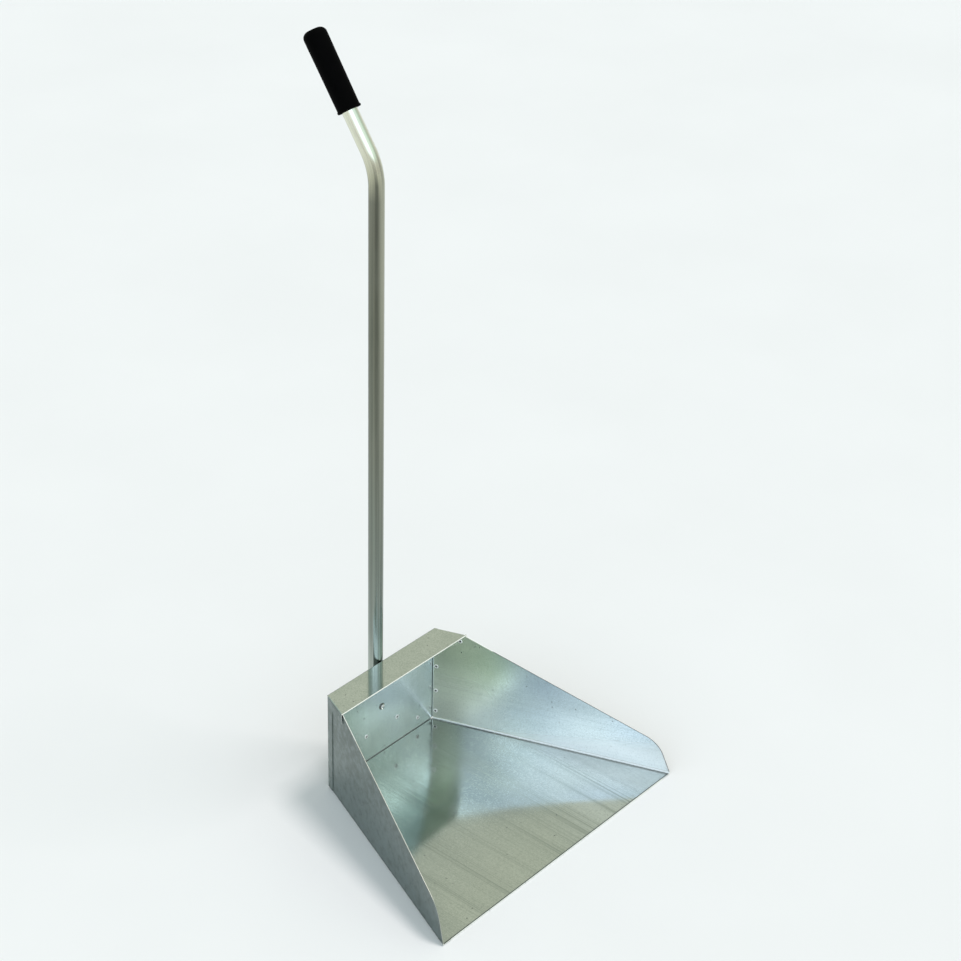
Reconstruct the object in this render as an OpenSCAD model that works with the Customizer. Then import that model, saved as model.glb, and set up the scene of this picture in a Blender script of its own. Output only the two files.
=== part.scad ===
// Lobby dustpan: a hooded pan folded from galvanised sheet, with a bent tube handle and a moulded grip.
// X runs to the right, Y to the back and Z up. The origin is the middle of the floor's underside.
// Lengths are in millimetres and angles in degrees.

/* [Sheet] */
// Thickness of the galvanised sheet
sheet = 0.8; // [0.6:0.1:1.2]
// Inside radius of the sheet's bends
bend_radius = 1.2; // [0.8:0.1:2]
// Loss of thickness where the sheet was drawn round a bend
bend_thinning = 0.04; // [0.02:0.01:0.1]

/* [Pan] */
// Width across the back, over the side walls
back_width = 195.5; // [150:0.5:240]
// Width across the mouth, over the side walls
mouth_width = 438; // [360:1:520]
// Depth from the lip to the back panel's outer face
pan_depth = 304; // [240:1:380]
// Height at which the top edge and the front edge of a side wall would meet if the nose were sharp
nose_height = 45; // [32:1:60]
// Radius of a side wall's rounded nose
nose_radius = 40; // [20:1:50]
// Lean of a side wall's front edge above its bend, back from upright
front_lean = 20.7; // [8:0.1:26]
// Width of the hem folded under the lip
lip_hem_width = 8; // [5:0.5:14]
// Distance from the lip's corners to the ends of its hem
lip_hem_setback = 15; // [6:1:40]
// Height of the flange turned up behind the back panel
rear_flange_height = 27; // [20:1:34]
// Corner cut off the top ends of that flange
rear_flange_chamfer = 8; // [2:1:14]

/* [Back panel and hood] */
// Height of the hood's top
hood_height = 145.3; // [115:0.1:180]
// Depth of the hood, from its folded front edge to the back panel's outer face
hood_depth = 42; // [32:1:60]
// Height of the hood's side flanges
hood_flange_height = 15.5; // [12:0.5:22]
// Width of the hem folded under the hood's front edge
hood_hem_width = 8; // [5:0.5:14]
// Width of the back panel's side flanges
back_flange_width = 14; // [11:0.5:20]

/* [Handle tube] */
// Outside diameter of the tube
tube_diameter = 19; // [16:0.5:22]
// Wall of the tube
tube_wall = 1.2; // [0.8:0.1:2]
// Height of the tube's open foot above the floor's underside
tube_foot = 12; // [4:1:25]
// Height at which the tube starts to bend backwards
tube_bend_start = 798; // [600:1:1000]
// Angle of the bend
tube_bend_angle = 35.5; // [15:0.5:60]
// Radius of the bend, on the tube's axis
tube_bend_radius = 70; // [45:1:120]
// Loss of wall where the tube was drawn round its bend
tube_bend_thinning = 0.04; // [0.02:0.01:0.1]
// Straight run of tube between the bend and the grip
tube_above_bend = 49; // [20:1:90]

/* [Grip] */
// Length of the grip
grip_length = 98; // [80:1:130]
// Diameter of the grip just above its collar
grip_diameter = 27; // [25:0.5:34]
// Diameter of the grip near its closed end
grip_end_diameter = 28.4; // [25:0.1:36]
// Radius round the rim of the closed end
grip_end_radius = 8; // [4:0.5:11]
// Thickness of the closed end
grip_end_wall = 5; // [3:0.5:8]
// Diameter of the collar at the grip's lower end
collar_diameter = 28.6; // [27:0.1:38]
// Width of the collar
collar_width = 3; // [2:0.5:6]
// Chamfer on the collar's edges
collar_chamfer = 0.6; // [0.2:0.1:0.9]

/* [Saddle] */
// Height of the strap that holds the tube
saddle_width = 20; // [14:1:26]
// Thickness of the strap
saddle_thickness = 1.5; // [1:0.1:2.5]
// Bend radius at the strap's feet
saddle_bend = 1.5; // [1:0.1:3]
// Distance between the strap's two rivets
saddle_rivet_spacing = 58; // [48:1:80]
// Distance from a rivet to the strap's end
saddle_end_margin = 7; // [5:0.5:12]
// Radius of the strap's corners
saddle_corner = 4; // [1:0.5:5]
// Gap between the rear flange and the strap above it
saddle_above_flange = 3.7; // [1:0.1:20]

/* [Bolt] */
// Diameter of the bolt
bolt_diameter = 5; // [4:0.5:6]
// Height of the bolt above the middle of the strap
bolt_above_saddle = 32.6; // [22:0.1:50]
// Diameter of the bolt's domed head
bolt_head_diameter = 9.6; // [8:0.1:14]
// Height of the bolt's domed head
bolt_head_height = 3.2; // [2:0.1:4.5]
// Length of bolt that stands out of the nut
bolt_tail = 2; // [1:0.5:6]
// Diameter of the washer
washer_diameter = 11; // [9:0.5:15]
// Thickness of the washer
washer_thickness = 1; // [0.6:0.1:1.6]
// Width of the nut across its flats
nut_across_flats = 8.5; // [8:0.5:12]
// Thickness of the nut
nut_thickness = 4; // [3:0.1:6]

/* [Rivets] */
// Diameter of a tubular rivet
rivet_diameter = 3.2; // [2.4:0.1:4]
// Diameter of a rivet's smooth head, on the outside of the pan
rivet_head_diameter = 6.2; // [5:0.1:8]
// Height of that head
rivet_head_height = 0.5; // [0.4:0.1:1.4]
// Diameter of the end rolled over inside the pan
rivet_roll_diameter = 6; // [5:0.1:8]
// Diameter of a rivet's bore
rivet_bore = 2.3; // [1.4:0.1:2.6]
// Depth of the bore below the sheet's inner face
rivet_bore_depth = 0.9; // [0.5:0.1:1.3]
// Heights of the three rivets on each side
side_rivet_heights = [14, 47, 86]; // [8:1:110]
// Distance of the side rivets from the back corner, along the wall
side_rivet_setback = 5.5; // [5:0.1:8]
// Distance of a hood rivet from the hood's front edge
hood_rivet_inset = 7; // [5:0.5:14]
// Distance of a hood rivet from the lower edge of the hood's flange
hood_rivet_edge = 4.6; // [4:0.1:7]
// Distance between the two rivets of the rear flange
rear_rivet_spacing = 138; // [80:1:150]
// Distance of these rivets from the flange's top edge
rear_rivet_edge = 10; // [6:0.5:14]

/* [Fits] */
// Gap between sheets that lie on one another, and under washers and feet
lap_gap = 0.1; // [0.05:0.05:0.3]
// Gap all round a rivet or bolt in its hole
hole_gap = 0.1; // [0.05:0.05:0.3]
// Gap between the tube and the grip or the strap around it
sleeve_gap = 0.15; // [0.05:0.05:0.3]
// Gap between a side wall's top edge and the hood's hem
hood_gap = 0.3; // [0.1:0.1:1]
// Room left at the sheet's corners so that its bends do not meet
corner_relief = 1.5; // [1:0.5:5]

/* [Hidden] */
$fn = 72;
// Overlap by which the straight and bent stretches of a folded section are joined
lap = 3;
// Reach of cutting shapes past the material that they cut
reach = 5;

bend_outer = bend_radius + sheet;
tube_radius = tube_diameter / 2;

// Side walls stand upright on slanted lines, so that the mouth is wider than the back.
flare = atan((mouth_width - back_width) / 2 / pan_depth);
back_y = pan_depth / 2;
front_y = -pan_depth / 2;
hood_front_y = back_y - hood_depth;
hood_fold_y = hood_front_y + sheet;
wall_top = hood_height - 2 * sheet - hood_gap;
wall_rear_y = back_y - sheet - bend_radius - lap_gap;
wall_run = pan_depth / cos(flare) + 2 * reach;

// Back panel: its lower edge clears the bend of the rear flange, and its side flanges lie on the walls.
panel_foot = bend_outer + lap_gap;
panel_bend_y = back_y - bend_outer;
panel_half = half_width(panel_bend_y, lap_gap - bend_radius);
flange_start = (panel_half - back_width / 2) * sin(flare) + bend_outer * cos(flare);
back_flange_top = hood_height - bend_outer - corner_relief;

// Hood: its side flanges lie outside the back panel's, and it ends inside the strip beside the panel's bend.
hood_rear_y = panel_bend_y - lap / 2;
hood_side = 2 * (lap_gap + sheet);
hood_bend = hood_side - bend_outer;
hood_corner = hood_bend + bend_outer / 2;
hood_rivet_height = hood_height - hood_flange_height + hood_rivet_edge;
hood_rivet_setback = (hood_depth - hood_rivet_inset) / cos(flare);

// Rear flange of the pan: it stands behind the back panel.
rear_bend_y = back_y + lap_gap - bend_radius;
rear_half = half_width(wall_rear_y, -bend_outer) - corner_relief;
rear_rivet_height = rear_flange_height - rear_rivet_edge;

// Handle: the tube stands on the rear flange's outer face.
tube_y = back_y + sheet + 2 * lap_gap + tube_radius;
grip_bore_depth = grip_length - grip_end_wall;
saddle_height = rear_flange_height + saddle_above_flange + saddle_width / 2;
saddle_inner = tube_radius + sleeve_gap;
saddle_outer = saddle_inner + saddle_thickness;
saddle_half = saddle_rivet_spacing / 2 + saddle_end_margin;
saddle_foot_x = saddle_outer + saddle_bend;
saddle_leg_y = back_y + lap_gap + saddle_thickness + saddle_bend;
bolt_height = saddle_height + bolt_above_saddle;
washer_y = tube_y + tube_radius + lap_gap;
nut_y = washer_y + washer_thickness + lap_gap;
bolt_shank = nut_y + nut_thickness + bolt_tail - (back_y - sheet);

// Clamped lengths of the rivets
side_grip = 2 * sheet + lap_gap;
hood_grip = sheet + hood_side;
rear_grip = 2 * sheet + lap_gap;
saddle_grip = sheet + lap_gap + saddle_thickness;

sheet_colour = [0.72, 0.76, 0.72];
tube_colour = [0.78, 0.80, 0.79];
rivet_colour = [0.80, 0.82, 0.80];
fastener_colour = [0.68, 0.70, 0.70];
grip_colour = [0.05, 0.05, 0.05];

// Half the pan's width at a given y, on a line that lies a distance outside the wall's outer face
function half_width(y, outside) = back_width / 2 + (back_y - y) * tan(flare) + outside / cos(flare);

// Angle by which a thinned bend runs on inside the straight stretches beside it
function run_on(radius, thinning) = asin(sqrt(thinning / (2 * radius)));

function direction(angle) = [cos(angle), sin(angle)];

// Sphere radius of a dome from the radius of its rim and its height
function dome_radius(rim, height) = (rim * rim + height * height) / (2 * height);

// Placing

// Along the right side wall: X forward from the back corner, Y outward from the wall's outer face
module on_wall() {
    translate([back_width / 2, back_y, 0]) rotate([0, 0, flare - 90]) children();
}

module both_sides() {
    for (side = [0, 1]) mirror([side, 0, 0]) children();
}

// A section drawn in Y and Z, drawn out along X
module across(width) {
    rotate([90, 0, 90]) linear_extrude(width, center = true) children();
}

// A section drawn outward and up, drawn out along the right side wall
module along_wall() {
    on_wall() translate([-reach, 0, 0]) rotate([90, 0, 90]) linear_extrude(wall_run) children();
}

// Fastener places: Z points into the pan and Z = 0 is the sheet's inner face
module wall_fastener(setback, height) {
    on_wall() translate([setback, -sheet, height]) rotate([90, 0, 0]) children();
}

module back_fastener(x, height) {
    translate([x, back_y - sheet, height]) rotate([90, 0, 0]) children();
}

module side_rivet_places() {
    for (height = side_rivet_heights) wall_fastener(side_rivet_setback, height) children();
}

module hood_rivet_place() {
    wall_fastener(hood_rivet_setback, hood_rivet_height) children();
}

module rear_rivet_places() {
    for (side = [-1, 1]) back_fastener(side * rear_rivet_spacing / 2, rear_rivet_height) children();
}

module saddle_rivet_places() {
    for (side = [-1, 1]) back_fastener(side * saddle_rivet_spacing / 2, saddle_height) children();
}

// Plane of the handle's bend: X runs from the bend's centre to the upright tube and Y runs up
module in_bend_plane() {
    translate([0, tube_y + tube_bend_radius, tube_bend_start]) rotate([90, 0, -90]) children();
}

// Along the tube past an angle of its bend, seen in the plane of the bend
module past_bend(angle) {
    rotate([0, 0, angle]) translate([tube_bend_radius, 0, 0]) rotate([-90, 0, 0]) children();
}

module rivet_hole() {
    cylinder(d = rivet_diameter + 2 * hole_gap, h = 2 * reach, center = true);
}

// Folded sections

// Part of a flat ring between two angles
module ring_sector(inner, outer, from, to) {
    far = 2 * outer;
    intersection() {
        difference() {
            circle(r = outer);
            circle(r = inner);
        }
        polygon([[0, 0], far * direction(from), 2 * far * direction((from + to) / 2), far * direction(to)]);
    }
}

// Bend of the sheet between two angles, round the origin
module sheet_bend(from, to) {
    thinner = bend_thinning / 2;
    extra = run_on(bend_radius, bend_thinning);
    ring_sector(bend_radius + thinner, bend_outer - thinner, from - extra, to + extra);
}

// Front edge folded flat under the sheet, seen from the right: the fold's centre is at the origin
module hem_section(width) {
    intersection() {
        circle(r = sheet);
        translate([-2 * sheet, -2 * sheet]) square([2 * sheet, 4 * sheet]);
    }
    square([lap, sheet]);
    translate([0, -sheet]) square([width - sheet, sheet]);
}

// Side wall, the bend at its foot and a strip of floor
module wall_section() {
    translate([-sheet, bend_outer]) square([sheet, wall_top + reach - bend_outer]);
    translate([-bend_outer, bend_outer]) sheet_bend(270, 360);
    translate([-bend_outer - lap, 0]) square([lap, sheet]);
}

// Side wall seen from the right: level under the hood, then falling to a rounded nose
module wall_outline() {
    rear_foot = [wall_rear_y, -reach];
    rear_top = [wall_rear_y, wall_top];
    hood_end = [hood_front_y, wall_top];
    nose = [front_y + (nose_height - bend_outer) * tan(front_lean), nose_height];
    bend_top = [front_y, bend_outer];
    front_foot = [front_y, -reach];
    to_hood = (hood_end - nose) / norm(hood_end - nose);
    to_foot = (bend_top - nose) / norm(bend_top - nose);
    nose_angle = acos(to_hood * to_foot);
    upper_end = nose + to_hood * nose_radius / tan(nose_angle / 2);
    lower_end = nose + to_foot * nose_radius / tan(nose_angle / 2);
    inward = (to_hood + to_foot) / norm(to_hood + to_foot);
    nose_centre = nose + inward * nose_radius / sin(nose_angle / 2);
    polygon([rear_foot, rear_top, hood_end, upper_end, lower_end, bend_top, front_foot]);
    intersection() {
        translate(nose_centre) circle(r = nose_radius);
        polygon([nose_centre, upper_end, nose, lower_end]);
    }
}

module side_wall() {
    intersection() {
        along_wall() wall_section();
        across(2 * mouth_width) wall_outline();
    }
}

// Floor as far as the strips beside the walls' bends, cut back where the lip's hem takes over
module floor_plate() {
    inside = -bend_outer - lap / 2;
    rear = half_width(wall_rear_y, inside);
    front = half_width(front_y, inside);
    outline = [[-front, front_y], [front, front_y], [rear, wall_rear_y], [-rear, wall_rear_y]];
    hem_length = mouth_width - 2 * lip_hem_setback;
    difference() {
        linear_extrude(sheet) polygon(outline);
        translate([-hem_length / 2, front_y - reach, -reach]) {
            cube([hem_length, reach + sheet, 2 * reach]);
        }
    }
    across(hem_length) translate([front_y + sheet, 0]) hem_section(lip_hem_width);
}

// Flange turned up behind the back panel, its top corners cut off
module rear_flange() {
    cut = rear_flange_chamfer;
    outline = [
        [-rear_half, -reach], [rear_half, -reach], [rear_half, rear_flange_height - cut],
        [rear_half - cut, rear_flange_height], [cut - rear_half, rear_flange_height],
        [-rear_half, rear_flange_height - cut]
    ];
    intersection() {
        across(2 * back_width) {
            translate([rear_bend_y - lap, 0]) square([lap, sheet]);
            translate([rear_bend_y, bend_outer]) sheet_bend(270, 360);
            translate([back_y + lap_gap, bend_outer]) square([sheet, rear_flange_height]);
        }
        translate([0, back_y + reach, 0]) rotate([90, 0, 0]) linear_extrude(4 * reach) polygon(outline);
    }
}

// Upright block at the back of the pan, between sides that lie a distance outside the walls' outer faces
module between_sides(outside) {
    near_y = hood_front_y - reach;
    far_y = back_y + reach;
    near = half_width(near_y, outside);
    far = half_width(far_y, outside);
    linear_extrude(2 * hood_height) polygon([[-near, near_y], [near, near_y], [far, far_y], [-far, far_y]]);
}

// Back panel as far as the strips beside its side bends, and the bend that turns it forward into the hood
module back_panel() {
    across(2 * panel_half - lap) {
        translate([back_y - sheet, panel_foot]) square([sheet, hood_height - bend_outer - panel_foot]);
    }
    intersection() {
        across(2 * mouth_width) {
            translate([back_y - bend_outer, hood_height - bend_outer]) sheet_bend(0, 90);
            translate([back_y - bend_outer - lap, hood_height - sheet]) square([lap, sheet]);
        }
        between_sides(hood_corner);
    }
}

// Bend and flange that wrap the back panel round the outside of the right wall
module back_side_flange() {
    translate([panel_half, panel_bend_y, panel_foot]) linear_extrude(back_flange_top - panel_foot) {
        translate([-lap, bend_radius]) square([lap, sheet]);
        sheet_bend(flare, 90);
        rotate(flare - 90) translate([0, bend_radius]) square([back_flange_width - flange_start, sheet]);
    }
}

// Hood as far as the strips beside its side bends, and its hem, whose fold runs out to the hood's corners
module hood_top() {
    intersection() {
        across(2 * mouth_width) translate([hood_fold_y, hood_height - sheet]) {
            hem_section(hood_hem_width);
            square([hood_rear_y - hood_fold_y, sheet]);
        }
        union() {
            between_sides(hood_bend - lap / 2);
            hood_edge();
        }
    }
}

// Room that the fold of the hood's hem takes, between the outer faces of the hood's side flanges
module hood_edge() {
    intersection() {
        between_sides(hood_side - lap_gap);
        translate([-mouth_width, hood_fold_y - reach, 0]) cube([2 * mouth_width, reach + sheet, 2 * hood_height]);
    }
}

module hood_side_flange() {
    intersection() {
        along_wall() {
            translate([hood_bend - lap, hood_height - sheet]) square([lap, sheet]);
            translate([hood_bend, hood_height - bend_outer]) sheet_bend(0, 90);
            translate([hood_side - sheet, hood_height - hood_flange_height]) {
                square([sheet, hood_flange_height - bend_outer]);
            }
        }
        translate([0, hood_fold_y, 0]) cube([mouth_width, hood_rear_y - hood_fold_y, 2 * hood_height]);
    }
}

// Revolved fasteners: Z points into the pan and Z = 0 is the face that they bear on there

module dome_section(diameter, height) {
    radius = dome_radius(diameter / 2, height);
    intersection() {
        translate([0, height - radius]) circle(r = radius);
        square([diameter, 2 * height]);
    }
}

// Rivet with a smooth head outside and its hollow end rolled over inside
module tubular_rivet(grip) {
    bore = rivet_bore / 2;
    shank = rivet_diameter / 2;
    roll = (rivet_roll_diameter / 2 - bore) / 2;
    rotate_extrude() union() {
        translate([0, -grip]) mirror([0, 1]) dome_section(rivet_head_diameter, rivet_head_height);
        translate([0, -grip]) square([shank, grip - rivet_bore_depth]);
        translate([bore, -grip]) square([shank - bore, grip]);
        translate([bore + roll, 0]) intersection() {
            circle(r = roll);
            translate([-2 * roll, 0]) square([4 * roll, 2 * roll]);
        }
    }
}

// Sub-parts

module pan_sheet() color(sheet_colour) difference() {
    union() {
        floor_plate();
        both_sides() side_wall();
        rear_flange();
    }
    both_sides() side_rivet_places() rivet_hole();
    both_sides() hood_rivet_place() rivet_hole();
    rear_rivet_places() rivet_hole();
}

module back_hood_sheet() color(sheet_colour) difference() {
    union() {
        back_panel();
        both_sides() back_side_flange();
        hood_top();
        both_sides() hood_side_flange();
    }
    both_sides() side_rivet_places() rivet_hole();
    both_sides() hood_rivet_place() rivet_hole();
    rear_rivet_places() rivet_hole();
    saddle_rivet_places() rivet_hole();
    back_fastener(0, bolt_height) cylinder(d = bolt_diameter + 2 * hole_gap, h = 2 * reach, center = true);
}

// Ring section of the tube, thinned alike on its outer and inner face
module tube_section(thinning) {
    difference() {
        circle(r = tube_radius - thinning / 2);
        circle(r = tube_radius - tube_wall + thinning / 2);
    }
}

module handle_tube() color(tube_colour) difference() {
    upright = tube_bend_start - tube_foot;
    extra = run_on(tube_bend_radius, tube_bend_thinning);
    in_bend_plane() {
        past_bend(0) translate([0, 0, -upright]) linear_extrude(upright) tube_section(0);
        rotate([0, 0, -extra]) rotate_extrude(angle = tube_bend_angle + 2 * extra) {
            translate([tube_bend_radius, 0]) tube_section(tube_bend_thinning);
        }
        past_bend(tube_bend_angle) {
            linear_extrude(tube_above_bend + grip_bore_depth - lap_gap) tube_section(0);
        }
    }
    translate([0, tube_y, bolt_height]) rotate([90, 0, 0]) {
        cylinder(d = bolt_diameter + 2 * hole_gap, h = 2 * tube_diameter, center = true);
    }
}

module hand_grip() color(grip_colour) {
    end = grip_end_diameter / 2;
    end_core = end - grip_end_radius;
    end_rise = grip_length - grip_end_radius;
    collar = collar_diameter / 2;
    cut = collar_chamfer;
    bore = tube_radius + sleeve_gap;
    in_bend_plane() past_bend(tube_bend_angle) translate([0, 0, tube_above_bend]) rotate_extrude()
    difference() {
        union() {
            polygon([
                [0, 0], [grip_diameter / 2, 0], [end, end_rise], [end_core, grip_length], [0, grip_length]
            ]);
            intersection() {
                translate([end_core, end_rise]) circle(r = grip_end_radius);
                square([2 * end, 2 * grip_length]);
            }
            polygon([
                [0, 0], [collar - cut, 0], [collar, cut], [collar, collar_width - cut],
                [collar - cut, collar_width], [0, collar_width]
            ]);
        }
        translate([-bore, -reach]) square([2 * bore, grip_bore_depth + reach]);
    }
}

// Strap seen from above: two feet on the back panel and an arch round the tube
module saddle_section() {
    bend_outside = saddle_bend + saddle_thickness;
    translate([0, tube_y]) intersection() {
        difference() {
            circle(r = saddle_outer);
            circle(r = saddle_inner);
        }
        translate([-2 * saddle_outer, 0]) square([4 * saddle_outer, 2 * saddle_outer]);
    }
    both_sides() {
        translate([saddle_inner, saddle_leg_y]) square([saddle_thickness, tube_y - saddle_leg_y]);
        translate([saddle_foot_x, saddle_leg_y]) ring_sector(saddle_bend, bend_outside, 180, 270);
        translate([saddle_foot_x, back_y + lap_gap]) square([saddle_half - saddle_foot_x, saddle_thickness]);
    }
}

// Rectangle with round corners, centred on the origin
module rounded_plate(width, height, corner) {
    square([width - 2 * corner, height], center = true);
    square([width, height - 2 * corner], center = true);
    for (x = [-1, 1], y = [-1, 1]) {
        translate([x * (width / 2 - corner), y * (height / 2 - corner)]) circle(r = corner);
    }
}

module handle_saddle() color(fastener_colour) difference() {
    intersection() {
        translate([0, 0, saddle_height - saddle_width]) linear_extrude(2 * saddle_width) saddle_section();
        translate([0, back_y + 2 * tube_diameter, saddle_height]) rotate([90, 0, 0]) {
            linear_extrude(3 * tube_diameter) rounded_plate(2 * saddle_half, saddle_width, saddle_corner);
        }
    }
    saddle_rivet_places() rivet_hole();
}

module handle_bolt() color(fastener_colour) {
    back_fastener(0, bolt_height) rotate_extrude() union() {
        dome_section(bolt_head_diameter, bolt_head_height);
        translate([0, -bolt_shank]) square([bolt_diameter / 2, bolt_shank]);
    }
}

module handle_washer() color(fastener_colour) {
    translate([0, washer_y, bolt_height]) rotate([-90, 0, 0]) linear_extrude(washer_thickness) difference() {
        circle(d = washer_diameter);
        circle(d = bolt_diameter + 2 * hole_gap);
    }
}

module handle_nut() color(fastener_colour) {
    translate([0, nut_y, bolt_height]) rotate([-90, 0, 0]) linear_extrude(nut_thickness) difference() {
        circle(d = nut_across_flats / cos(30), $fn = 6);
        circle(d = bolt_diameter + 2 * hole_gap);
    }
}

module left_side_rivets() color(rivet_colour) mirror([1, 0, 0]) side_rivet_places() tubular_rivet(side_grip);

module right_side_rivets() color(rivet_colour) side_rivet_places() tubular_rivet(side_grip);

module hood_rivets() color(rivet_colour) both_sides() hood_rivet_place() tubular_rivet(hood_grip);

module rear_flange_rivets() color(rivet_colour) rear_rivet_places() tubular_rivet(rear_grip);

module saddle_rivets() color(rivet_colour) saddle_rivet_places() tubular_rivet(saddle_grip);

pan_sheet();
back_hood_sheet();
handle_tube();
hand_grip();
handle_saddle();
handle_bolt();
handle_washer();
handle_nut();
left_side_rivets();
right_side_rivets();
hood_rivets();
rear_flange_rivets();
saddle_rivets();
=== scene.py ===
"""Looks of the lobby dustpan: galvanised sheet, zinc-plated tube, rolled rivets and a black grip.

Lengths are in metres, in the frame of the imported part: X to the right, Y to the back and Z up.
"""

import math

import bmesh
import bpy
from mathutils import Matrix, Vector


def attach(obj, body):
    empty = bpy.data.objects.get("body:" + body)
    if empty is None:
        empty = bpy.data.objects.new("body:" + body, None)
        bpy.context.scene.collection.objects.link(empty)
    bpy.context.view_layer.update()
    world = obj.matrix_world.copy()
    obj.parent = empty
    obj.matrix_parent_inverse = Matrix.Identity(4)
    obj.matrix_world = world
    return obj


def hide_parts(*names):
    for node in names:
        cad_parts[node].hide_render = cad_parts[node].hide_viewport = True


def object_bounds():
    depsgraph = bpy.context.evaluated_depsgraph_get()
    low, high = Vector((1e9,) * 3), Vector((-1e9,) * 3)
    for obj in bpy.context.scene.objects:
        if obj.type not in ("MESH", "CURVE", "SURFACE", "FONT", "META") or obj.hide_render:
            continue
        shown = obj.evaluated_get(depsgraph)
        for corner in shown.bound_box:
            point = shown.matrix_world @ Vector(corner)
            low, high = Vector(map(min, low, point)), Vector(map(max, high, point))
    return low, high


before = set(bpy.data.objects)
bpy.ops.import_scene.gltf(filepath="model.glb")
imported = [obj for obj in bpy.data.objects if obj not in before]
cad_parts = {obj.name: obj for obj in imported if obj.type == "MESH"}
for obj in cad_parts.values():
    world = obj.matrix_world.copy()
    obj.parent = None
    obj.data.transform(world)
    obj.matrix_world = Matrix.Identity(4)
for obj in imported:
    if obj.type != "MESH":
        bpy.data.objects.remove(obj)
cad_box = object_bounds()

# Sizes of the part, which the pieces and the marks made here follow
SHEET = 0.0008
BEND_OUTER = 0.002
LAP_GAP = 0.0001
BACK_WIDTH = 0.1955
MOUTH_WIDTH = 0.438
PAN_DEPTH = 0.304
HOOD_HEIGHT = 0.1453
HOOD_DEPTH = 0.042
HOOD_FLANGE_HEIGHT = 0.0155
BACK_Y = PAN_DEPTH / 2
HOOD_FRONT_Y = BACK_Y - HOOD_DEPTH
HOOD_FLANGE_FOOT = HOOD_HEIGHT - HOOD_FLANGE_HEIGHT
FLARE = math.atan((MOUTH_WIDTH - BACK_WIDTH) / 2 / PAN_DEPTH)

TUBE_DIAMETER = 0.019
TUBE_WALL = 0.0012
TUBE_FOOT = 0.012
TUBE_BEND_START = 0.798
TUBE_BEND_RADIUS = 0.070
TUBE_BEND_ANGLE = math.radians(35.5)
TUBE_ABOVE_BEND = 0.1419
TUBE_Y = BACK_Y + SHEET + 2 * LAP_GAP + TUBE_DIAMETER / 2
TUBE_SIDES = 72
TUBE_BEND_STEPS = 28

RIVET_DIAMETER = 0.0032
RIVET_HEAD_DIAMETER = 0.0062
RIVET_HEAD_HEIGHT = 0.0005
RIVET_ROLL_DIAMETER = 0.006
RIVET_BORE = 0.0023
RIVET_BORE_DEPTH = 0.0009
RIVET_SIDES = 40
RIVET_ROLL_STEPS = 14
RIVET_HEAD_STEPS = 10
SADDLE_THICKNESS = 0.0015

# Places of the rivets
SIDE_RIVET_SETBACK = 0.0055
SIDE_RIVET_HEIGHTS = (0.014, 0.047, 0.086)
HOOD_RIVET_INSET = 0.007
HOOD_RIVET_EDGE = 0.0046
HOOD_RIVET_SETBACK = (HOOD_DEPTH - HOOD_RIVET_INSET) / math.cos(FLARE)
HOOD_RIVET_HEIGHT = HOOD_FLANGE_FOOT + HOOD_RIVET_EDGE
REAR_RIVET_X = 0.069
REAR_RIVET_HEIGHT = 0.017
SADDLE_RIVET_X = 0.029
SADDLE_RIVET_HEIGHT = 0.0407

# Tones inside the pan, with painted light, shade and reflections among them
GREY_ZINC = (0.585, 0.63, 0.605)
PALE_ZINC = (0.72, 0.755, 0.73)
# painted reflection on the floor at the right of the lip
FRONT_REFLECTION_TONE = (0.82, 0.87, 0.92)
# painted shade on the floor beside the walls' feet
WALL_FOOT_PAINTED_SHADE = (0.40, 0.44, 0.44)
# painted dark reflection in a band on the floor
BAND_PAINTED_REFLECTION = (0.23, 0.275, 0.31)
CHALK_FRONT = (0.95, 0.99, 1.0)
CHALK_REAR = (0.93, 0.98, 0.86)
# bloom and painted reflection on the back panel's right side
PANEL_BLOOM_AND_LIGHT = (0.82, 0.90, 0.93)
# painted light on the middle of the back panel
PANEL_PAINTED_LIGHT = (0.92, 1.0, 1.0)
# painted shade in the back panel's left corner
PANEL_CORNER_SHADE = (0.42, 0.45, 0.42)
# painted shade along the inner walls' top edges
WALL_TOP_PAINTED_SHADE = (0.50, 0.55, 0.56)
# painted light on the shaded underside of the hood
HOOD_UNDERSIDE_PAINTED_LIGHT = (0.90, 0.95, 0.92)

# Tones of the sheet's outer faces, darkened as painted shade
OUTER_LOW_SHADE = (0.150, 0.190, 0.180)
OUTER_HIGH_SHADE = (0.050, 0.080, 0.068)
OUTER_BLOOM = (0.20, 0.26, 0.25)
OUTER_PALE_CLOUD = (0.20, 0.25, 0.26)
OUTER_DARK_CLOUD = (0.055, 0.080, 0.066)
OUTER_FOOT = (0.045, 0.055, 0.050)

# Tones of the sheet's grain and specks, and painted highlights and shade on its edges, hems, bends and seam
DARK_MOTTLE = (0.40, 0.43, 0.41)
LIGHT_MOTTLE = (0.92, 0.94, 0.91)
STREAK_GREY = (0.40, 0.44, 0.42)
# painted light on the left wall's edge, painted shade on the right wall's edge
LEFT_EDGE_PAINTED_LIGHT = (0.42, 0.43, 0.39)
RIGHT_EDGE_PAINTED_SHADE = (0.03, 0.033, 0.03)
# painted highlight on the hems, which are also duller
HEM_PAINTED_HIGHLIGHT = (0.86, 0.87, 0.80)
# painted highlight on the bends at the walls' feet
FOOT_BEND_HIGHLIGHT = (0.92, 0.97, 0.98)
# dark lines: painted shade at the walls' feet, and a dark line behind the lip
DARK_LINE_TONE = (0.12, 0.13, 0.13)
SPECK = (0.14, 0.15, 0.14)
# painted shade in the rear seam
SEAM_SHADE = (0.10, 0.11, 0.10)

# Tones of the tube, the fasteners, the grip and the studio
TUBE_STREAK = (0.09, 0.10, 0.088)
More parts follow.
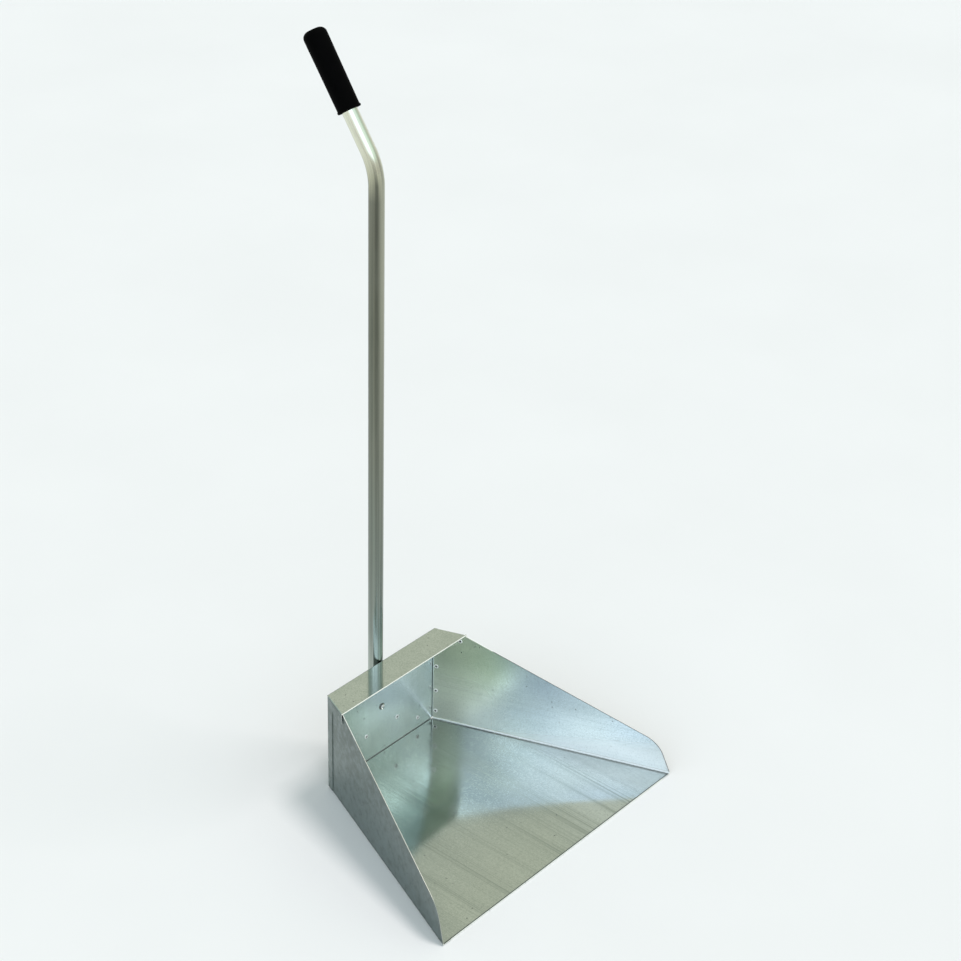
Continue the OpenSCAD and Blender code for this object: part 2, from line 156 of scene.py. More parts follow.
# painted highlight and painted dark reflection on the tube
TUBE_PAINTED_HIGHLIGHT = (0.42, 0.42, 0.33)
TUBE_PAINTED_DARK_REFLECTION = (0.085, 0.088, 0.07)
TUBE_BLOOM = (0.24, 0.25, 0.205)
HARDWARE_GREY = (0.60, 0.63, 0.61)
HARDWARE_PALE = (0.70, 0.72, 0.69)
HARDWARE_RIM_SHADE = (0.10, 0.11, 0.10)
RIVET_BRIGHT = (0.97, 0.97, 0.95)
RIVET_SCUFFED = (0.88, 0.89, 0.87)
# duller outer rivet heads, darkened as painted shade
RIVET_OUTER_HEAD_DULL_AND_SHADED = (0.27, 0.31, 0.30)
RIVET_BORE_SHADE = (0.015, 0.015, 0.014)
GRIP_BLACK = (0.0008, 0.0008, 0.0008)
GRIP_SMEAR = (0.0018, 0.0018, 0.0018)
STUDIO_PALE = (0.83, 0.83, 0.825)
STUDIO_PALER = (0.85, 0.85, 0.845)

# Direction along the painted dark reflection band on the floor, and in the tube's ring towards its painted
# highlight
BAND_X, BAND_Y = 0.749, 0.663
HIGHLIGHT_SIDE_X, HIGHLIGHT_SIDE_Y = 0.684, -0.729

# How far from its axis the painted shade of a rivet's bore reaches, in radii of the bore
BORE_SHADE_REACH = 1.4

# Camera of the photograph
CAMERA_PLACE = (-1.810339, -1.535032, 1.938752)
CAMERA_AZIMUTH = math.radians(-49.771)
CAMERA_ELEVATION = math.radians(31.612)
CAMERA_ROLL = math.radians(1.66)
CAMERA_LENS = 89.94
CAMERA_SENSOR = 36.0
CAMERA_REACH = 200.0

# Studio
FLOOR_HALF = 40.0
SUN_ENERGY = 1.35
SUN_ANGLE = math.radians(18)
SUN_COLOUR = (1.0, 0.94, 0.93)
TOWARDS_SUN = (0.30, -0.20, 0.93)
TOWARDS_BRIGHT_SIDE = (-0.80, -0.55, 0.30)
CEILING = (0.32, 0.32, 0.32)
LOW_ROOM = (0.78, 0.80, 0.80)


# Node helpers

def add_node(tree, kind, **settings):
    """A new node, with its properties set by name."""
    node = tree.nodes.new(kind)
    for name, value in settings.items():
        setattr(node, name, value)
    return node


def link(tree, source, target):
    tree.links.new(source, target)


def object_place(tree):
    return add_node(tree, "ShaderNodeTexCoord").outputs["Object"]


def object_facing(tree):
    return add_node(tree, "ShaderNodeTexCoord").outputs["Normal"]


def skin_attribute(tree, name, output):
    """What a piece's own mesh keeps under a name."""
    return add_node(tree, "ShaderNodeAttribute", attribute_name=name).outputs[output]


def parts_of(tree, vector):
    """The three parts of a vector."""
    node = add_node(tree, "ShaderNodeSeparateXYZ")
    link(tree, vector, node.inputs["Vector"])
    return node.outputs["X"], node.outputs["Y"], node.outputs["Z"]


def vector_of(tree, *parts):
    """A vector from its three parts."""
    node = add_node(tree, "ShaderNodeCombineXYZ")
    for socket, part in zip(node.inputs, parts):
        link(tree, part, socket)
    return node.outputs["Vector"]


def stretched(tree, vector, scale):
    """A vector stretched along its axes, to draw a pattern out into streaks."""
    node = add_node(tree, "ShaderNodeMapping")
    node.inputs["Scale"].default_value = scale
    link(tree, vector, node.inputs["Vector"])
    return node.outputs["Vector"]


def unit_vector(tree, vector):
    node = add_node(tree, "ShaderNodeVectorMath", operation="NORMALIZE")
    link(tree, vector, node.inputs[0])
    return node.outputs["Vector"]


def noise(tree, vector, scale, detail=3.0, roughness=0.55):
    """Value of a noise texture read at a vector."""
    node = add_node(tree, "ShaderNodeTexNoise")
    node.inputs["Scale"].default_value = scale
    node.inputs["Detail"].default_value = detail
    node.inputs["Roughness"].default_value = roughness
    link(tree, vector, node.inputs["Vector"])
    return node.outputs["Fac"]


def ramp(tree, value, low, high, to_low=0.0, to_high=1.0, smooth=False):
    """A value carried from one range to another and held at its ends."""
    node = add_node(tree, "ShaderNodeMapRange")
    node.interpolation_type = "SMOOTHSTEP" if smooth else "LINEAR"
    node.inputs["From Min"].default_value = low
    node.inputs["From Max"].default_value = high
    node.inputs["To Min"].default_value = to_low
    node.inputs["To Max"].default_value = to_high
    link(tree, value, node.inputs["Value"])
    return node.outputs["Result"]


def math_node(tree, operation, *values):
    """A sum, product or the like of sockets or numbers."""
    node = add_node(tree, "ShaderNodeMath", operation=operation)
    for socket, value in zip(node.inputs, values):
        if isinstance(value, (int, float)):
            socket.default_value = value
        else:
            link(tree, value, socket)
    return node.outputs["Value"]


def product(tree, first, *others):
    for other in others:
        first = math_node(tree, "MULTIPLY", first, other)
    return first


def total(tree, first, *others):
    for other in others:
        first = math_node(tree, "ADD", first, other)
    return first


def difference(tree, first, second):
    return math_node(tree, "SUBTRACT", first, second)


def larger(tree, first, *others):
    """The largest of several masks."""
    for other in others:
        first = math_node(tree, "MAXIMUM", first, other)
    return first


def band(tree, value, low, high, soft):
    """Mask of a value between two limits, with soft ends."""
    return product(tree, ramp(tree, value, low - soft, low), ramp(tree, value, high + soft, high))


def mix_colours(tree, factor, first, second):
    """A colour between two, each a socket or a written colour."""
    node = add_node(tree, "ShaderNodeMix", data_type="RGBA")
    link(tree, factor, node.inputs["Factor"])
    for socket, value in ((node.inputs[6], first), (node.inputs[7], second)):
        if isinstance(value, tuple):
            socket.default_value = (*value, 1.0)
        else:
            link(tree, value, socket)
    return node.outputs[2]


def layered(tree, tone, layers):
    """A tone with others laid over it in turn, each by a mask, a share of it and a tone."""
    for mask, share, over in layers:
        tone = mix_colours(tree, product(tree, mask, share), tone, over)
    return tone


def toned(tree, value, tones, interpolation="LINEAR"):
    """Colour read at a value from pairs of a place between 0 and 1 and a colour."""
    node = add_node(tree, "ShaderNodeValToRGB")
    node.color_ramp.interpolation = interpolation
    stops = node.color_ramp.elements
    for stop, (place, tone) in zip(stops, (tones[0], tones[-1])):
        stop.position = place
        stop.color = (*tone, 1.0)
    for place, tone in tones[1:-1]:
        stops.new(place).color = (*tone, 1.0)
    link(tree, value, node.inputs["Fac"])
    return node.outputs["Color"]


def add_bump(tree, height, distance, below=None):
    """A bump of a given depth, on top of another one if there is one."""
    node = add_node(tree, "ShaderNodeBump")
    node.inputs["Strength"].default_value = 1.0
    node.inputs["Distance"].default_value = distance
    link(tree, height, node.inputs["Height"])
    if below is not None:
        link(tree, below, node.inputs["Normal"])
    return node.outputs["Normal"]


def new_material(name):
    """A material with its node tree and its surface shader."""
    material = bpy.data.materials.new(name)
    material.use_nodes = True
    tree = material.node_tree
    return material, tree, tree.nodes["Principled BSDF"]


# Galvanised sheet: where a point of it lies

class SheetPlaces:
    """Where a point of the folded sheet lies, which way it faces, and on which face of the pan it is."""

    def __init__(self, tree):
        self.place = object_place(tree)
        self.x, self.y, self.z = parts_of(tree, self.place)
        facing_x, self.facing_y, self.facing_z = parts_of(tree, object_facing(tree))
        self.sideways = math_node(tree, "ABSOLUTE", facing_x)
        self.on_wall = math_node(tree, "GREATER_THAN", self.sideways, 0.7)
        self.from_lip = ramp(tree, self.y, -BACK_Y, BACK_Y)
        self.at_back = ramp(tree, self.y, BACK_Y - 0.003, BACK_Y - 0.002)
        self.inner_wall = product(tree, ramp(tree, self.facing_y, -0.10, -0.35), self.on_wall)
        self.outer = ramp(tree, self.facing_y, 0.10, 0.35)
        self.floor = product(tree, ramp(tree, self.facing_z, 0.97, 0.99), ramp(tree, self.z, 0.004, 0.002))
        self.panel = product(tree, ramp(tree, self.facing_y, -0.95, -0.99), self.at_back)
        near_hood = ramp(tree, self.z, 0.12, 0.13)
        self.under_hood = product(tree, ramp(tree, self.facing_z, -0.4, -0.8), near_hood)


def rolled_place(tree, sheet):
    """Where a point lay on the rolled strip: on the walls, their height counts across the strip."""
    off_wall = difference(tree, 1.0, sheet.on_wall)
    across = total(tree, product(tree, sheet.z, sheet.on_wall), product(tree, sheet.x, off_wall))
    return vector_of(tree, across, sheet.y, sheet.z)


def from_wall(tree, sheet):
    """Distance across the pan from the outer face of the nearer side wall."""
    from_middle = math_node(tree, "ABSOLUTE", sheet.x)
    slanted = total(tree, from_middle, product(tree, sheet.y, math.tan(FLARE)))
    return difference(tree, BACK_WIDTH / 2 + BACK_Y * math.tan(FLARE), slanted)


def facing_front(tree, sheet):
    """Mask of the thin faces that look to the front."""
    return product(tree, ramp(tree, sheet.facing_y, -0.10, -0.25), ramp(tree, sheet.sideways, 0.30, 0.15))


# Galvanised sheet: masks of its marks

def rolling_streaks(tree, sheet):
    """Fine long lines that stand in groups, strong on the floor and faint on the walls, hood and panel."""
    rolled = rolled_place(tree, sheet)
    lines = noise(tree, stretched(tree, rolled, (400.0, 1.6, 1.6)), scale=1.0, detail=3.0, roughness=0.6)
    groups = noise(tree, stretched(tree, rolled, (26.0, 0.8, 0.8)), scale=1.0, detail=1.0, roughness=0.5)
    return product(
        tree,
        ramp(tree, lines, 0.44, 0.68, 0.22, 1.0),
        ramp(tree, groups, 0.44, 0.60, 0.30, 1.0),
        ramp(tree, sheet.on_wall, 0.0, 1.0, 1.0, 0.3),
        ramp(tree, sheet.z, HOOD_HEIGHT - 0.003, HOOD_HEIGHT - 0.002, 1.0, 0.15),
        ramp(tree, sheet.at_back, 0.0, 1.0, 1.0, 0.3),
    )


def chalky_bloom(tree, sheet):
    """Share of dull white zinc bloom on the walls: at their feet toward the mouth, and low at the back."""
    slanted = total(tree, sheet.z, product(tree, sheet.y, 0.2))
    foot = ramp(tree, slanted, 0.030, 0.002, 0.0, 0.6, smooth=True)
    rear = product(
        tree,
        ramp(tree, sheet.y, 0.04, 0.10, 0.0, 0.45, smooth=True),
        ramp(tree, sheet.z, 0.12, 0.04, smooth=True),
    )
    return product(tree, sheet.inner_wall, larger(tree, foot, rear))


def cut_edges(tree, sheet):
    """Mask of the side walls' bare top edges and of their rounded noses."""
    sloping = product(
        tree,
        ramp(tree, sheet.facing_z, 0.20, 0.35),
        ramp(tree, sheet.z, HOOD_HEIGHT - 0.0018, HOOD_HEIGHT - 0.0022),
    )
    noses = ramp(tree, sheet.y, -0.09, -0.10)
    off_floor = ramp(tree, sheet.z, 0.0015, 0.003)
    return product(tree, larger(tree, sloping, noses), facing_front(tree, sheet), off_floor)


def highlighted_hems(tree, sheet):
    """Mask of the front faces of the lip and of the hood's edge and flanges, pale as a painted highlight
    and duller.
    """
    at_lip = ramp(tree, sheet.y, SHEET - BACK_Y, -BACK_Y)
    at_hood = product(
        tree,
        ramp(tree, sheet.y, HOOD_FRONT_Y + 1.6 * SHEET, HOOD_FRONT_Y + 1.2 * SHEET),
        ramp(tree, sheet.z, HOOD_FLANGE_FOOT - 0.0005, HOOD_FLANGE_FOOT),
    )
    return product(tree, larger(tree, at_lip, at_hood), facing_front(tree, sheet))


def highlighted_feet(tree, sheet):
    """Mask of the bends at the walls' feet, pale as a painted highlight."""
    return product(
        tree,
        ramp(tree, sheet.sideways, 0.25, 0.35),
        ramp(tree, sheet.facing_y, -0.02, -0.08),
        ramp(tree, sheet.facing_z, -0.10, -0.05),
        ramp(tree, sheet.z, BEND_OUTER + 0.0012, BEND_OUTER + 0.0006),
    )


def shaded_feet_line(tree, sheet):
    """Mask of a painted shade line on the floor beside the walls, at the bends' feet, stronger toward the
    mouth.
    """
    return product(
        tree,
        ramp(tree, sheet.facing_z, 0.85, 0.93),
        band(tree, from_wall(tree, sheet), 0.7 * BEND_OUTER, 1.4 * BEND_OUTER, 0.0003),
        ramp(tree, sheet.z, 0.003, 0.002),
        ramp(tree, sheet.y, 0.0, -0.12, 0.15, 0.6),
    )


def lip_line(tree, sheet):
    """Mask of a dark line on the floor just behind the lip's fold."""
    return product(tree, sheet.floor, band(tree, sheet.y, SHEET - BACK_Y, 2.2 * SHEET - BACK_Y, 0.0003))


def rear_seam(tree, sheet):
    """Mask of painted shade in the seam between the floor and the back panel."""
    near_panel = ramp(tree, sheet.y, BACK_Y - 0.0022, BACK_Y - 0.0016)
    return product(tree, near_panel, ramp(tree, sheet.z, 0.0018, 0.0012))


def shaded_beside_walls(tree, sheet):
    """Mask of painted shade on the floor along the feet of the side walls."""
    return product(tree, sheet.floor, ramp(tree, from_wall(tree, sheet), 0.05, 0.0, smooth=True))


def dark_reflection_band(tree, sheet):
    """Mask of a painted dark reflection: a band aslant on the floor, from its middle to the right rear
    corner.
    """
    across = difference(tree, product(tree, sheet.x, BAND_Y), product(tree, sheet.y, BAND_X))
    along = total(tree, product(tree, sheet.x, BAND_X), product(tree, sheet.y, BAND_Y))
    return product(
        tree,
        sheet.floor,
        ramp(tree, across, -0.034, 0.0, smooth=True),
        ramp(tree, across, 0.12, 0.01, smooth=True),
        ramp(tree, along, -0.05, 0.01, smooth=True),
    )


def front_painted_reflection(tree, sheet):
    """Mask of a painted reflection: cooler, brighter floor at the right of the lip, fading toward the
    corner.
    """
    return product(
        tree,
        sheet.floor,
        ramp(tree, sheet.x, 0.0, 0.11, smooth=True),
        ramp(tree, sheet.x, 0.11, 0.18, 1.0, 0.2, smooth=True),
        ramp(tree, sheet.y, -0.06, -0.13, smooth=True),
    )


def lit_panel_middle(tree, sheet):
    """Mask of painted light on the middle of the back panel, stronger toward the hood; it also takes a
    share of diffuse finish.
    """
    rising = ramp(tree, sheet.z, 0.0, 0.06, 0.25, 0.85)
    return product(tree, sheet.panel, rising, band(tree, sheet.x, -0.02, 0.045, 0.05))


def shaded_wall_tops(tree, sheet):
    """Mask of painted shade on the side walls inside, along their sloping top edges."""
    slanted = difference(tree, sheet.z, product(tree, sheet.y, 0.43))
    near_edge = ramp(tree, slanted, 0.060, 0.098)
    return product(tree, sheet.inner_wall, near_edge, ramp(tree, sheet.y, 0.12, 0.06))


class SheetMarks:
    """Masks of the sheet's bloom, grain and specks, and of painted light and shade on its panel, edges,
    hems, bends, lines and seam, that change both its tone and its gloss.
    """

    def __init__(self, tree, sheet):
        cloud = noise(tree, sheet.place, scale=17.0, detail=5.0, roughness=0.6)
        mottle = noise(tree, sheet.place, scale=560.0, detail=2.0, roughness=0.6)
        grit = noise(tree, sheet.place, scale=300.0, detail=0.0, roughness=0.4)
        self.bloom = ramp(tree, cloud, 0.30, 0.70)
        self.dark_mottle = ramp(tree, mottle, 0.50, 0.30, 0.0, 0.34)
        self.light_mottle = ramp(tree, mottle, 0.50, 0.70, 0.0, 0.30)
        self.specks = ramp(tree, grit, 0.825, 0.84, 0.0, 0.7)
        self.streaks = rolling_streaks(tree, sheet)
        self.chalk = chalky_bloom(tree, sheet)
        self.lit_panel_middle = lit_panel_middle(tree, sheet)
        self.edges = cut_edges(tree, sheet)
        self.hems = highlighted_hems(tree, sheet)
        self.feet = highlighted_feet(tree, sheet)
        self.dark_lines = larger(tree, shaded_feet_line(tree, sheet), lip_line(tree, sheet))
        self.seam = rear_seam(tree, sheet)


# Galvanised sheet: tones and finish

def floor_painted_reflections(tree, sheet):
    """Floor tone along its depth, painted reflection and shade: grey toward the lip, a painted bright
    reflection behind its middle, painted shade before the back panel.
    """
    return toned(tree, sheet.from_lip, (
        (0.10, (0.66, 0.695, 0.66)),
        (0.40, (0.59, 0.63, 0.63)),
        (0.56, (0.59, 0.66, 0.67)),
        (0.67, (0.92, 1.0, 0.98)),
        (0.90, (0.35, 0.365, 0.335)),
    ))


def inner_wall_painted_light(tree, sheet):
    """Side walls inside, painted light: bright at the mouth, duller in the middle, paler and warm at the
    back.
    """
    return toned(tree, sheet.from_lip, (
        (0.04, (0.90, 0.93, 0.93)),
        (0.25, (0.92, 0.95, 0.95)),
        (0.52, (0.80, 0.84, 0.82)),
        (0.75, (0.91, 0.95, 0.82)),
        (0.95, (0.93, 0.98, 0.87)),
    ))


def inside_tone(tree, sheet, marks):
    """The pan's inside before its grain: floor, side walls, back panel and the underside of the hood, with
    painted reflections, light and shade.
    """
    chalk_tone = mix_colours(tree, ramp(tree, sheet.y, 0.0, 0.06), CHALK_FRONT, CHALK_REAR)
    # bloom clouds kept on the back panel's right side: partly real bloom, partly a painted reflection
    panel_bloom_and_light = product(tree, sheet.panel, marks.bloom, ramp(tree, sheet.x, -0.06, 0.0, 0.1, 1.0))
    # painted shade in the back panel's left corner
    panel_corner_shade = product(tree, sheet.panel, ramp(tree, sheet.x, -0.035, -0.08))
    return layered(tree, mix_colours(tree, marks.bloom, GREY_ZINC, PALE_ZINC), (
        (sheet.floor, 0.7, floor_painted_reflections(tree, sheet)),
        (shaded_beside_walls(tree, sheet), 0.45, WALL_FOOT_PAINTED_SHADE),
        (dark_reflection_band(tree, sheet), 0.9, BAND_PAINTED_REFLECTION),
        (front_painted_reflection(tree, sheet), 0.8, FRONT_REFLECTION_TONE),
        (sheet.inner_wall, 0.8, inner_wall_painted_light(tree, sheet)),
        (ramp(tree, marks.chalk, 0.0, 0.6), 1.0, chalk_tone),
        (panel_bloom_and_light, 1.0, PANEL_BLOOM_AND_LIGHT),
        (marks.lit_panel_middle, 1.0, PANEL_PAINTED_LIGHT),
        (panel_corner_shade, 0.7, PANEL_CORNER_SHADE),
        (shaded_wall_tops(tree, sheet), 0.6, WALL_TOP_PAINTED_SHADE),
        # painted light on the hood's underside
        (sheet.under_hood, 0.8, HOOD_UNDERSIDE_PAINTED_LIGHT),
    ))


def outer_tone_and_shade(tree, sheet, marks):
    """The pan's outer faces: dull, with a dark base that is painted shade, darker still toward the hood,
    with small clouds and a darker foot.
    """
    clouds = noise(tree, sheet.place, scale=110.0, detail=3.0, roughness=0.6)
    return layered(tree, mix_colours(tree, ramp(tree, sheet.z, 0.03, 0.12), OUTER_LOW_SHADE, OUTER_HIGH_SHADE), (
        (marks.bloom, 0.40, OUTER_BLOOM),
        (ramp(tree, clouds, 0.48, 0.62), 0.5, OUTER_PALE_CLOUD),
        (ramp(tree, clouds, 0.46, 0.34), 0.5, OUTER_DARK_CLOUD),
        (ramp(tree, sheet.z, 0.005, 0.002), 0.8, OUTER_FOOT),
    ))


def sheet_tone(tree, sheet, marks):
    """Tones of the inside and the outside, with the grain and specks, and painted highlights and shade on
    the edges, hems, bends, lines and seam.
    """
    # cut edges: painted light on the left wall's edge, painted shade on the right wall's edge and nose
    lit_and_shaded_edges = mix_colours(tree, ramp(tree, sheet.x, -0.01, 0.01), LEFT_EDGE_PAINTED_LIGHT, RIGHT_EDGE_PAINTED_SHADE)
    return layered(tree, inside_tone(tree, sheet, marks), (
        (marks.dark_mottle, 1.0, DARK_MOTTLE),
        (marks.light_mottle, 1.0, LIGHT_MOTTLE),
        (marks.streaks, 0.9, STREAK_GREY),
        (sheet.outer, 0.9, outer_tone_and_shade(tree, sheet, marks)),
        (marks.edges, 1.0, lit_and_shaded_edges),
        (marks.hems, 1.0, HEM_PAINTED_HIGHLIGHT),
        (marks.feet, 1.0, FOOT_BEND_HIGHLIGHT),
        (marks.dark_lines, 1.0, DARK_LINE_TONE),
        (marks.specks, 1.0, SPECK),
        (marks.seam, 0.65, SEAM_SHADE),
    ))


def bare_metal(tree, marks):
    """Share of bare metal: less under chalk, on the highlighted hems and in the middle of the back panel.
    """
    hems = product(tree, marks.hems, 0.8)
    panel = product(tree, marks.lit_panel_middle, 0.25)
    return difference(tree, 1.0, larger(tree, marks.chalk, hems, panel))


def sheet_roughness(tree, sheet, marks):
    """Smooth zinc, made duller by each mark."""
    smooth_zinc = 0.08
    duller = (
        (marks.light_mottle, 0.02),
        (marks.bloom, 0.03),
        (marks.dark_mottle, 0.08),
        (marks.streaks, 0.05),
        (sheet.inner_wall, 0.09),
        (sheet.panel, 0.09),
        (sheet.outer, 0.20),
        (marks.edges, 0.30),
        (marks.hems, 0.30),
        (marks.feet, 0.20),
        (marks.dark_lines, 0.30),
        (marks.specks, 0.30),
        (marks.seam, 0.40),
    )
    return total(tree, smooth_zinc, *[product(tree, mask, more) for mask, more in duller])


def bowed(tree, sheet, normal):
    """A normal leaned as thin sheet bows: at the floor's left, and at the walls' mouth, back and feet."""
    floor_lean = product(tree, sheet.floor, ramp(tree, sheet.x, 0.03, -0.13, 0.0, 0.07))
    rear_lean = product(tree, sheet.inner_wall, ramp(tree, sheet.y, 0.02, 0.09, 0.0, 0.033, smooth=True))
    mouth_lean = ramp(tree, sheet.y, 0.06, -0.06, 0.0, 0.05, smooth=True)
    foot_lean = ramp(tree, sheet.z, BEND_OUTER + 0.0022, BEND_OUTER, 0.0, 0.8)
    wall_lean = product(tree, sheet.inner_wall, total(tree, mouth_lean, foot_lean))
    leaned = add_node(tree, "ShaderNodeVectorMath", operation="ADD")
    link(tree, normal, leaned.inputs[0])
    link(tree, vector_of(tree, floor_lean, rear_lean, wall_lean), leaned.inputs[1])
    return unit_vector(tree, leaned.outputs["Vector"])


def galvanised_material():
    """Galvanised sheet: bloom and streaks, painted light, shade and reflections inside the pan, duller
    outer faces darkened as painted shade, slight waves.
    """
    material, tree, shader = new_material("galvanised_sheet_finish")
    sheet = SheetPlaces(tree)
    marks = SheetMarks(tree, sheet)
    waves = noise(tree, sheet.place, scale=7.0, detail=1.0, roughness=0.4)
    normal = add_bump(tree, waves, distance=0.0010)
    normal = add_bump(tree, marks.streaks, distance=0.000004, below=normal)
    link(tree, sheet_tone(tree, sheet, marks), shader.inputs["Base Color"])
    link(tree, bare_metal(tree, marks), shader.inputs["Metallic"])
    link(tree, sheet_roughness(tree, sheet, marks), shader.inputs["Roughness"])
    link(tree, bowed(tree, sheet, normal), shader.inputs["Normal"])
    return material


# Other materials

def plating_and_reflection_tone(tree, along):
    """The tube's tone along its length, partly painted reflection: pale at the hood, dull up to the bend, a
    painted highlight from the bend to below the grip.
    """
    return toned(tree, along, (
        (0.13, (0.62, 0.69, 0.63)),
        (0.18, (0.38, 0.43, 0.39)),
        (0.28, (0.27, 0.31, 0.27)),
        (0.44, (0.24, 0.255, 0.205)),
        (0.60, (0.20, 0.208, 0.158)),
        (0.77, (0.26, 0.26, 0.20)),
        (0.80, (0.64, 0.63, 0.46)),
        (0.83, (0.90, 0.90, 0.72)),
        (0.97, (0.87, 0.90, 0.79)),
    ))


def painted_tube_sides(tree, around_x, around_y, along):
    """Masks of a painted highlight on one side of the tube and a painted dark reflection line along it,
    both growing up to its bend.
    """
    towards_highlight = total(tree, product(tree, around_x, HIGHLIGHT_SIDE_X), product(tree, around_y, HIGHLIGHT_SIDE_Y))
    upper = product(tree, ramp(tree, along, 0.25, 0.70), ramp(tree, along, 0.82, 0.79))
    highlight_side = product(tree, ramp(tree, towards_highlight, 0.25, 0.70), upper)
    dark_reflection_line = product(tree, band(tree, towards_highlight, -0.10, 0.10, 0.35), upper)
    return highlight_side, dark_reflection_line


def tube_material():
    """Zinc-plated tube with fine streaks along it and painted highlights and reflections, read from the
    tube's own wrap attribute.
    """
    material, tree, shader = new_material("zinc_tube_finish")
    wrap = skin_attribute(tree, "wrap", "Vector")
    around_x, around_y, along = parts_of(tree, wrap)
    streaks = noise(tree, stretched(tree, wrap, (3.2, 3.2, 0.9)), scale=1.0, detail=5.0, roughness=0.65)
    bloom = noise(tree, stretched(tree, wrap, (1.5, 1.5, 14.0)), scale=1.0, detail=3.0, roughness=0.6)
    kept_streaks = product(tree, ramp(tree, streaks, 0.35, 0.7), ramp(tree, along, 0.79, 0.83, 1.0, 0.4))
    highlight_side, dark_reflection_line = painted_tube_sides(tree, around_x, around_y, along)
    tone = layered(tree, plating_and_reflection_tone(tree, along), (
        (kept_streaks, 1.0, TUBE_STREAK),
        (highlight_side, 0.8, TUBE_PAINTED_HIGHLIGHT),
        (dark_reflection_line, 0.85, TUBE_PAINTED_DARK_REFLECTION),
        (ramp(tree, bloom, 0.45, 0.8), 0.3, TUBE_BLOOM),
    ))
    link(tree, tone, shader.inputs["Base Color"])
    shader.inputs["Metallic"].default_value = 1.0
    link(tree, ramp(tree, streaks, 0.3, 0.75, 0.14, 0.26), shader.inputs["Roughness"])
    link(tree, add_bump(tree, streaks, distance=0.00001), shader.inputs["Normal"])
    return material


def hardware_material():
    """Zinc-plated strap, bolt, washer and nut, with painted shade round the bolt's domed head."""
    material, tree, shader = new_material("zinc_hardware_finish")
    place = object_place(tree)
    _, y, _ = parts_of(tree, place)
    _, facing_y, _ = parts_of(tree, object_facing(tree))
    bloom = noise(tree, place, scale=160.0, detail=3.0, roughness=0.6)
    dents = noise(tree, place, scale=700.0, detail=2.0)
    in_pan = ramp(tree, y, BACK_Y, BACK_Y - 0.0005)
    # painted shade on the flank of the bolt's dome inside the pan
    rim = product(tree, in_pan, ramp(tree, facing_y, -0.82, -0.66))
    tone = mix_colours(tree, ramp(tree, bloom, 0.35, 0.7), HARDWARE_GREY, HARDWARE_PALE)
    tone = mix_colours(tree, rim, tone, HARDWARE_RIM_SHADE)
    link(tree, tone, shader.inputs["Base Color"])
    shader.inputs["Metallic"].default_value = 1.0
    link(tree, ramp(tree, bloom, 0.3, 0.7, 0.16, 0.28), shader.inputs["Roughness"])
    link(tree, add_bump(tree, dents, distance=0.000006), shader.inputs["Normal"])
    return material


def rivet_material():
    """Rivets with pale scuffed ends and painted shade in their bores inside the pan, and duller heads
    outside, darkened as painted shade.
    """
    material, tree, shader = new_material("rivet_finish")
    scuffs = noise(tree, object_place(tree), scale=800.0, detail=3.0, roughness=0.6)
    bore = skin_attribute(tree, "bore", "Fac")
    outer_head = skin_attribute(tree, "outer_head", "Fac")
    tone = layered(tree, mix_colours(tree, ramp(tree, scuffs, 0.35, 0.7), RIVET_BRIGHT, RIVET_SCUFFED), (
        (outer_head, 1.0, RIVET_OUTER_HEAD_DULL_AND_SHADED),
        (bore, 1.0, RIVET_BORE_SHADE),
    ))
    link(tree, tone, shader.inputs["Base Color"])
    link(tree, ramp(tree, outer_head, 0.0, 1.0, 0.2, 1.0), shader.inputs["Metallic"])
    scuffed = ramp(tree, scuffs, 0.3, 0.7, 0.14, 0.24)
    dull = total(tree, scuffed, product(tree, bore, 0.5), product(tree, outer_head, 0.25))
    link(tree, dull, shader.inputs["Roughness"])
    link(tree, add_bump(tree, scuffs, distance=0.00001), shader.inputs["Normal"])
    return material


def grip_material():
    """Smooth black moulded vinyl."""
    material, tree, shader = new_material("grip_finish")
    place = object_place(tree)
    grain = noise(tree, place, scale=1400.0, detail=2.0, roughness=0.5)
    smears = noise(tree, place, scale=45.0, detail=3.0, roughness=0.6)
    tone = mix_colours(tree, ramp(tree, smears, 0.3, 0.75), GRIP_BLACK, GRIP_SMEAR)
    link(tree, tone, shader.inputs["Base Color"])
    shader.inputs["Specular IOR Level"].default_value = 0.02
    link(tree, ramp(tree, smears, 0.3, 0.7, 0.55, 0.7), shader.inputs["Roughness"])
    link(tree, add_bump(tree, grain, distance=0.00003), shader.inputs["Normal"])
    return material


def studio_floor_material():
    """Plain pale studio floor."""
    material, tree, shader = new_material("studio_floor_finish")
    cloud = noise(tree, object_place(tree), scale=3.0, detail=3.0, roughness=0.5)
    tone = mix_colours(tree, ramp(tree, cloud, 0.3, 0.7), STUDIO_PALE, STUDIO_PALER)
    link(tree, tone, shader.inputs["Base Color"])
    shader.inputs["Roughness"].default_value = 0.9
    shader.inputs["Specular IOR Level"].default_value = 0.1
    return material


# Shapes

def new_object(name, data):
    """A new object in the scene."""
    made = bpy.data.objects.new(name, data)
    bpy.context.scene.collection.objects.link(made)
    return made


def polyline_mesh(name, points):
    """A mesh of edges only, from point to point."""
    mesh = bpy.data.meshes.new(name)
    edges = [(i, i + 1) for i in range(len(points) - 1)]
    mesh.from_pydata(points, edges, [])
    return mesh


